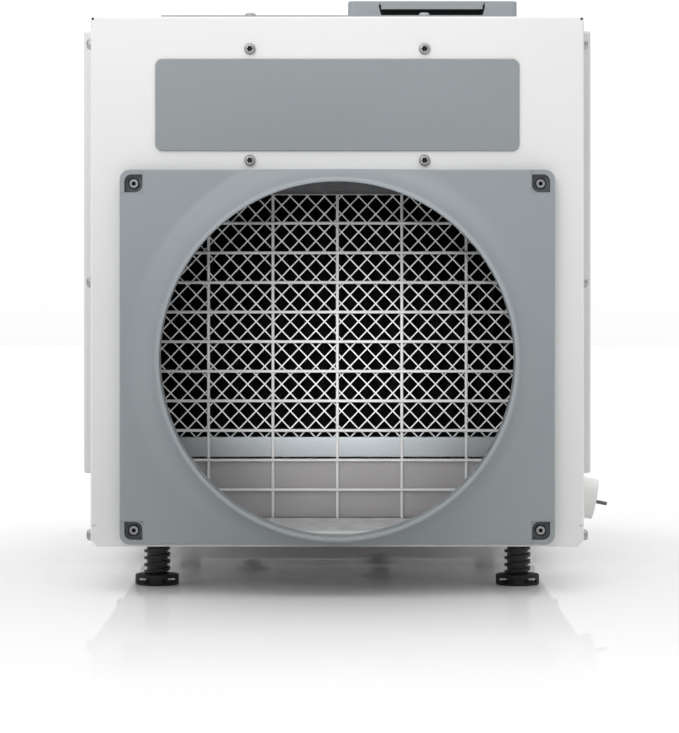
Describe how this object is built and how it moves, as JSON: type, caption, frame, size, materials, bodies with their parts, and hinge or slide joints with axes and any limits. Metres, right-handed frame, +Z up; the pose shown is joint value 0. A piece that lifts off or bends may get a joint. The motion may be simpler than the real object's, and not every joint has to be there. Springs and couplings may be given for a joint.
{
  "type": "ducted dehumidifier",
  "caption": "Ducted whole-house dehumidifier: low white sheet-metal cabinet on levelling feet, grey round inlet collar over a wire guard and filter, and a control unit on top.",
  "frame": {"origin": "on the floor under the middle of the whole object's box", "axes": "+Z up, +Y from the inlet collar to the outlet collar, +X to the side with the drain spout"},
  "size_m": [0.3872, 0.702, 0.422],
  "materials": {
    "white_paint": "powder-coated satin white",
    "grey_plastic": "moulded, fine satin grain",
    "white_plastic": "moulded, satin",
    "galvanised_steel": "galvanised sheet",
    "filter_board": "pressed board frame",
    "grey_liner": "primed sheet",
    "filter_cloth": "black pleated cloth",
    "aluminium": "plain",
    "steel": "zinc-plated",
    "copper": "drawn copper tube",
    "black_paint": "baked black enamel",
    "black_rubber": "moulded",
    "black_plastic": "glass-filled, satin",
    "circuit_board": "coated laminate",
    "display_glass": "clear dark window"
  },
  "bodies": {
    "cabinet": {"base_pan": "galvanised_steel", "cabinet_wrap": "white_paint", "front_panel": "white_paint", "rear_panel": "white_paint", "access_panel_right": "white_paint", "inlet_shroud": "grey_plastic", "shroud_screw_1": "steel", "shroud_screw_2": "steel", "shroud_screw_3": "steel", "shroud_screw_4": "steel", "nameplate": "grey_plastic", "inlet_liner": "galvanised_steel", "inlet_guard": "galvanised_steel", "lower_blank_panel": "grey_liner", "filter_rail": "galvanised_steel", "evaporator_coil": "aluminium", "condenser_coil": "aluminium", "drain_pan": "black_plastic", "drain_spout": "white_plastic", "compressor_shell": "black_paint", "compressor_grommet_1": "black_rubber", "compressor_bolt_1": "steel", "compressor_grommet_2": "black_rubber", "compressor_bolt_2": "steel", "compressor_grommet_3": "black_rubber", "compressor_bolt_3": "steel", "suction_line": "copper", "discharge_line": "copper", "liquid_line": "copper", "capillary_tube": "copper", "filter_drier": "copper", "blower_bulkhead": "galvanised_steel", "motor_body": "aluminium", "motor_mount": "galvanised_steel", "outlet_collar": "grey_plastic", "cord_gland": "black_plastic", "electrical_shelf": "galvanised_steel", "power_board": "circuit_board", "run_capacitor": "aluminium", "control_housing": "grey_plastic", "display_window": "display_glass"},
    "blower": {"blower_wheel": "black_plastic", "motor_shaft": "steel"},
    "filter_door": {"access_panel_left": "white_paint"},
    "filter_cartridge": {"filter_frame": "filter_board", "filter_media": "filter_cloth", "filter_screen": "aluminium"},
    "drain_plug": {"drain_plug": "grey_plastic"},
    "control_lid": {"control_lid": "grey_plastic"},
    "button_mode": {"button_mode": "black_plastic"},
    "button_down": {"button_down": "black_plastic"},
    "button_up": {"button_up": "black_plastic"},
    "foot_pad_1": {"foot_pad_1": "black_plastic"},
    "foot_stem_1": {"foot_stem_1": "black_plastic"},
    "foot_pad_2": {"foot_pad_2": "black_plastic"},
    "foot_stem_2": {"foot_stem_2": "black_plastic"},
    "foot_pad_3": {"foot_pad_3": "black_plastic"},
    "foot_stem_3": {"foot_stem_3": "black_plastic"},
    "foot_pad_4": {"foot_pad_4": "black_plastic"},
    "foot_stem_4": {"foot_stem_4": "black_plastic"}
  },
  "joints": [
    {"name": "blower_spin", "type": "hinge", "parent": "cabinet", "child": "blower", "pos_m": [-0.0101, 0.012, 0.174], "axis": [0, 1, 0], "continuous": true},
    {"name": "foot_1_height", "type": "slide", "parent": "cabinet", "child": "foot_pad_1", "axis": [0, 0, 1], "range_m": [-0.01, 0.012]},
    {"name": "foot_1_turn", "type": "hinge", "parent": "foot_pad_1", "child": "foot_stem_1", "pos_m": [-0.1411, -0.25, 0], "axis": [0, 0, 1], "range_deg": [-722, 866]},
    {"name": "foot_2_height", "type": "slide", "parent": "cabinet", "child": "foot_pad_2", "axis": [0, 0, 1], "range_m": [-0.01, 0.012]},
    {"name": "foot_2_turn", "type": "hinge", "parent": "foot_pad_2", "child": "foot_stem_2", "pos_m": [0.1209, -0.25, 0], "axis": [0, 0, 1], "range_deg": [-722, 866]},
    {"name": "foot_3_height", "type": "slide", "parent": "cabinet", "child": "foot_pad_3", "axis": [0, 0, 1], "range_m": [-0.01, 0.012]},
    {"name": "foot_3_turn", "type": "hinge", "parent": "foot_pad_3", "child": "foot_stem_3", "pos_m": [0.1209, 0.25, 0], "axis": [0, 0, 1], "range_deg": [-722, 866]},
    {"name": "foot_4_height", "type": "slide", "parent": "cabinet", "child": "foot_pad_4", "axis": [0, 0, 1], "range_m": [-0.01, 0.012]},
    {"name": "foot_4_turn", "type": "hinge", "parent": "foot_pad_4", "child": "foot_stem_4", "pos_m": [-0.1411, 0.25, 0], "axis": [0, 0, 1], "range_deg": [-722, 866]},
    {"name": "door_pull", "type": "slide", "parent": "cabinet", "child": "filter_door", "axis": [-1, 0, 0], "range_m": [0, 0.4]},
    {"name": "filter_slide", "type": "slide", "parent": "cabinet", "child": "filter_cartridge", "axis": [-1, 0, 0], "range_m": [0, 0.34]},
    {"name": "plug_pull", "type": "slide", "parent": "cabinet", "child": "drain_plug", "axis": [0.9816, 0, -0.1908], "range_m": [0, 0.025]},
    {"name": "lid_hinge", "type": "hinge", "parent": "cabinet", "child": "control_lid", "pos_m": [0.058, -0.205, 0.4206], "axis": [-1, 0, 0], "range_deg": [0, 105]},
    {"name": "button_mode_press", "type": "slide", "parent": "cabinet", "child": "button_mode", "axis": [0, 0, -1], "range_m": [0, 0.0012], "stiffness_N_per_m": 400},
    {"name": "button_down_press", "type": "slide", "parent": "cabinet", "child": "button_down", "axis": [0, 0, -1], "range_m": [0, 0.0012], "stiffness_N_per_m": 400},
    {"name": "button_up_press", "type": "slide", "parent": "cabinet", "child": "button_up", "axis": [0, 0, -1], "range_m": [0, 0.0012], "stiffness_N_per_m": 400}
  ],
  "couplings": [
    {"joint": "foot_1_turn", "follows": "foot_1_height", "rad_per_m": 1256.6},
    {"joint": "foot_2_turn", "follows": "foot_2_height", "rad_per_m": 1256.6},
    {"joint": "foot_3_turn", "follows": "foot_3_height", "rad_per_m": 1256.6},
    {"joint": "foot_4_turn", "follows": "foot_4_height", "rad_per_m": 1256.6},
    {"joint": "filter_slide", "follows": "door_pull", "ratio": 0.84}
  ]
}
